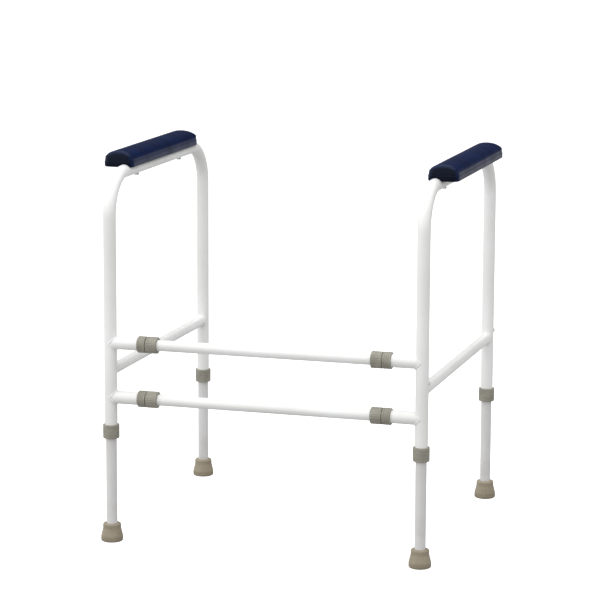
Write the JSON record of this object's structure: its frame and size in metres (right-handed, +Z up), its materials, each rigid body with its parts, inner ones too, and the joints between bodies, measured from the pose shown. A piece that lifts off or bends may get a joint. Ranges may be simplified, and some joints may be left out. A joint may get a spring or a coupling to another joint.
{
  "type": "toilet safety frame",
  "caption": "Free-standing frame round a toilet: padded arms on two tubular arches, joined by telescopic front rails, on height-adjustable legs.",
  "frame": {"origin": "on the floor, midway between the four legs", "axes": "+X to the right, +Y to the back, +Z up; the front rails are at -Y"},
  "size_m": [0.628, 0.5254, 0.6705],
  "materials": {
    "powder_white": "white powder coat, satin",
    "leg_white": "greyer white powder coat, satin",
    "collar_grey": "moulded grey plastic, fine texture",
    "ferrule_grey": "warm grey rubber",
    "pad_navy": "smooth navy skin over foam, slight gloss",
    "plastic_black": "moulded black plastic",
    "steel": "zinc-plated steel"
  },
  "bodies": {
    "left_frame": {"left_arched_tube": "powder_white", "left_side_rail": "powder_white", "left_upper_stub": "powder_white", "left_lower_stub": "powder_white", "left_front_leg_collar": "collar_grey", "left_rear_leg_collar": "collar_grey", "left_upper_rail_collar": "collar_grey", "left_lower_rail_collar": "collar_grey", "left_upper_collet": "plastic_black", "left_lower_collet": "plastic_black", "left_arm_base": "plastic_black", "left_arm_pad": "pad_navy", "left_arm_screws": "steel"},
    "right_frame": {"right_arched_tube": "powder_white", "right_side_rail": "powder_white", "right_upper_stub": "powder_white", "right_lower_stub": "powder_white", "right_front_leg_collar": "collar_grey", "right_rear_leg_collar": "collar_grey", "right_upper_rail_collar": "collar_grey", "right_lower_rail_collar": "collar_grey", "right_upper_collet": "plastic_black", "right_lower_collet": "plastic_black", "right_arm_base": "plastic_black", "right_arm_pad": "pad_navy", "right_arm_screws": "steel"},
    "cross_rails": {"upper_rail_tube": "powder_white", "lower_rail_tube": "powder_white", "upper_rail_glides": "plastic_black", "lower_rail_glides": "plastic_black"},
    "left_upper_nut": {"left_upper_nut": "collar_grey"},
    "left_lower_nut": {"left_lower_nut": "collar_grey"},
    "right_upper_nut": {"right_upper_nut": "collar_grey"},
    "right_lower_nut": {"right_lower_nut": "collar_grey"},
    "left_front_leg": {"left_front_leg_tube": "leg_white", "left_front_ferrule": "ferrule_grey", "left_front_washer": "steel", "left_front_snap_spring": "steel"},
    "left_front_button": {"left_front_snap_button": "steel"},
    "right_front_leg": {"right_front_leg_tube": "leg_white", "right_front_ferrule": "ferrule_grey", "right_front_washer": "steel", "right_front_snap_spring": "steel"},
    "right_front_button": {"right_front_snap_button": "steel"},
    "left_rear_leg": {"left_rear_leg_tube": "leg_white", "left_rear_ferrule": "ferrule_grey", "left_rear_washer": "steel", "left_rear_snap_spring": "steel"},
    "left_rear_button": {"left_rear_snap_button": "steel"},
    "right_rear_leg": {"right_rear_leg_tube": "leg_white", "right_rear_ferrule": "ferrule_grey", "right_rear_washer": "steel", "right_rear_snap_spring": "steel"},
    "right_rear_button": {"right_rear_snap_button": "steel"}
  },
  "joints": [
    {"name": "left_width", "type": "slide", "parent": "left_frame", "child": "cross_rails", "axis": [1, 0, 0], "range_m": [-0.025, 0.022]},
    {"name": "right_width", "type": "slide", "parent": "cross_rails", "child": "right_frame", "axis": [1, 0, 0], "range_m": [-0.025, 0.022]},
    {"name": "left_front_height", "type": "slide", "parent": "left_frame", "child": "left_front_leg", "axis": [0, 0, 1], "range_m": [-0.1, 0.05]},
    {"name": "left_front_press", "type": "slide", "parent": "left_front_leg", "child": "left_front_button", "axis": [0.7071, -0.7071, 0], "range_m": [0, 0.0045], "stiffness_N_per_m": 2000, "springref_m": -0.001, "deforming": ["left_front_snap_spring"]},
    {"name": "left_rear_height", "type": "slide", "parent": "left_frame", "child": "left_rear_leg", "axis": [0, 0, 1], "range_m": [-0.1, 0.05]},
    {"name": "left_rear_press", "type": "slide", "parent": "left_rear_leg", "child": "left_rear_button", "axis": [0.7071, -0.7071, 0], "range_m": [0, 0.0045], "stiffness_N_per_m": 2000, "springref_m": -0.001, "deforming": ["left_rear_snap_spring"]},
    {"name": "left_upper_twist", "type": "hinge", "parent": "left_frame", "child": "left_upper_nut", "pos_m": [-0.1983, -0.2435, 0.35], "axis": [1, 0, 0], "range_deg": [0, 90]},
    {"name": "left_lower_twist", "type": "hinge", "parent": "left_frame", "child": "left_lower_nut", "pos_m": [-0.1983, -0.2435, 0.255], "axis": [1, 0, 0], "range_deg": [0, 90]},
    {"name": "right_front_height", "type": "slide", "parent": "right_frame", "child": "right_front_leg", "axis": [0, 0, 1], "range_m": [-0.1, 0.05]},
    {"name": "right_front_press", "type": "slide", "parent": "right_front_leg", "child": "right_front_button", "axis": [-0.7071, -0.7071, 0], "range_m": [0, 0.0045], "stiffness_N_per_m": 2000, "springref_m": -0.001, "deforming": ["right_front_snap_spring"]},
    {"name": "right_rear_height", "type": "slide", "parent": "right_frame", "child": "right_rear_leg", "axis": [0, 0, 1], "range_m": [-0.1, 0.05]},
    {"name": "right_rear_press", "type": "slide", "parent": "right_rear_leg", "child": "right_rear_button", "axis": [-0.7071, -0.7071, 0], "range_m": [0, 0.0045], "stiffness_N_per_m": 2000, "springref_m": -0.001, "deforming": ["right_rear_snap_spring"]},
    {"name": "right_upper_twist", "type": "hinge", "parent": "right_frame", "child": "right_upper_nut", "pos_m": [0.1983, -0.2435, 0.35], "axis": [-1, 0, 0], "range_deg": [0, 90]},
    {"name": "right_lower_twist", "type": "hinge", "parent": "right_frame", "child": "right_lower_nut", "pos_m": [0.1983, -0.2435, 0.255], "axis": [-1, 0, 0], "range_deg": [0, 90]}
  ]
}
